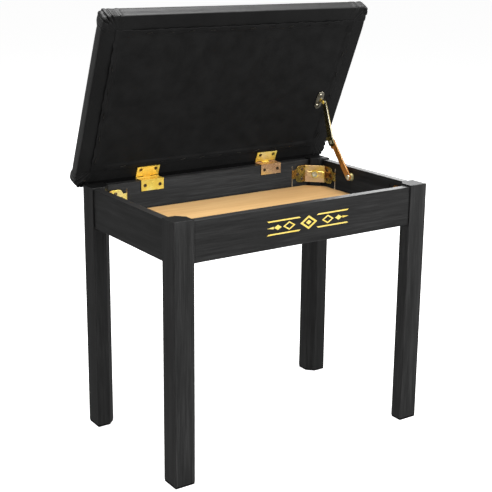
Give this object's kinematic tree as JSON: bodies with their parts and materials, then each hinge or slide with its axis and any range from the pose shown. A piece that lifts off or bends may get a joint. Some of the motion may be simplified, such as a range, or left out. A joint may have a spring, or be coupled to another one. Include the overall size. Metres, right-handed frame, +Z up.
{
  "type": "storage piano bench",
  "caption": "Black storage piano bench: padded lid on two leaf hinges opens over a shallow box, held by a folding stay; square legs bolted at corner plates.",
  "frame": {"origin": "on the floor, under the middle of the bounding box of the open bench", "axes": "+Z up, +X along the seat to the right, -Y towards the front apron"},
  "size_m": [0.55, 0.3442, 0.7518],
  "materials": {
    "black_film": "black wood-grain film over board",
    "black_leather": "black faux leather, fine grain",
    "board": "raw board",
    "foam": "upholstery foam",
    "dust_cover": "black backing sheet",
    "bare_panel": "bare thin panel, fine grain",
    "rubber": "matt",
    "yellow_zinc": "yellow zinc plating",
    "copper_zinc": "copper-toned zinc plating",
    "bright_steel": "bright plating",
    "dark_screw": "dark bronze plating"
  },
  "bodies": {
    "frame": {"front_apron": "black_film", "back_apron": "black_film", "left_apron": "black_film", "right_apron": "black_film", "bottom_panel": "bare_panel", "leg_back_left": "black_film", "foot_pad_back_left": "rubber", "corner_bracket_back_left": "yellow_zinc", "hanger_bolt_back_left": "bright_steel", "washer_back_left": "yellow_zinc", "hex_nut_back_left": "yellow_zinc", "leg_back_right": "black_film", "foot_pad_back_right": "rubber", "corner_bracket_back_right": "yellow_zinc", "hanger_bolt_back_right": "bright_steel", "washer_back_right": "yellow_zinc", "hex_nut_back_right": "yellow_zinc", "leg_front_left": "black_film", "foot_pad_front_left": "rubber", "corner_bracket_front_left": "yellow_zinc", "hanger_bolt_front_left": "bright_steel", "washer_front_left": "yellow_zinc", "hex_nut_front_left": "yellow_zinc", "leg_front_right": "black_film", "foot_pad_front_right": "rubber", "corner_bracket_front_right": "yellow_zinc", "hanger_bolt_front_right": "bright_steel", "washer_front_right": "yellow_zinc", "hex_nut_front_right": "yellow_zinc", "left_hinge_frame_leaf": "yellow_zinc", "left_hinge_frame_leaf_screw_left": "dark_screw", "left_hinge_frame_leaf_screw_right": "dark_screw", "left_hinge_pin": "bright_steel", "right_hinge_frame_leaf": "yellow_zinc", "right_hinge_frame_leaf_screw_left": "dark_screw", "right_hinge_frame_leaf_screw_right": "dark_screw", "right_hinge_pin": "bright_steel", "stay_wall_boss": "bright_steel", "stay_wall_screw": "bright_steel"},
    "lid": {"lid_board": "board", "foam_pad": "foam", "seat_cover": "black_leather", "dust_cover": "dust_cover", "left_hinge_lid_leaf": "yellow_zinc", "left_hinge_lid_leaf_screw_left": "dark_screw", "left_hinge_lid_leaf_screw_right": "dark_screw", "right_hinge_lid_leaf": "yellow_zinc", "right_hinge_lid_leaf_screw_left": "dark_screw", "right_hinge_lid_leaf_screw_right": "dark_screw", "stay_lid_plate": "bright_steel", "stay_lid_plate_screw_back": "bright_steel", "stay_lid_plate_screw_front": "bright_steel", "stay_lid_rivet": "yellow_zinc"},
    "stay_lower": {"stay_lower_arm": "copper_zinc", "stay_knee_rivet_tail": "bright_steel"},
    "stay_upper": {"stay_upper_arm": "yellow_zinc", "stay_knee_rivet_head": "bright_steel"}
  },
  "joints": [
    {"name": "lid_hinge", "type": "hinge", "parent": "frame", "child": "lid", "pos_m": [0, 0.1424, 0.4442], "axis": [1, 0, 0], "range_deg": [0, 66.8]},
    {"name": "stay_lower_pivot", "type": "hinge", "parent": "frame", "child": "stay_lower", "pos_m": [0.2355, 0.0154, 0.4265], "axis": [1, 0, 0], "range_deg": [-41.5, 0]},
    {"name": "stay_upper_pivot", "type": "hinge", "parent": "lid", "child": "stay_upper", "pos_m": [0.2312, 0.08892, 0.56163], "axis": [1, 0, 0], "range_deg": [0, 39.03]}
  ],
  "couplings": [
    {"joint": "stay_lower_pivot", "follows": "lid_hinge", "ratio": -0.621},
    {"joint": "stay_upper_pivot", "follows": "lid_hinge", "ratio": 0.584}
  ]
}
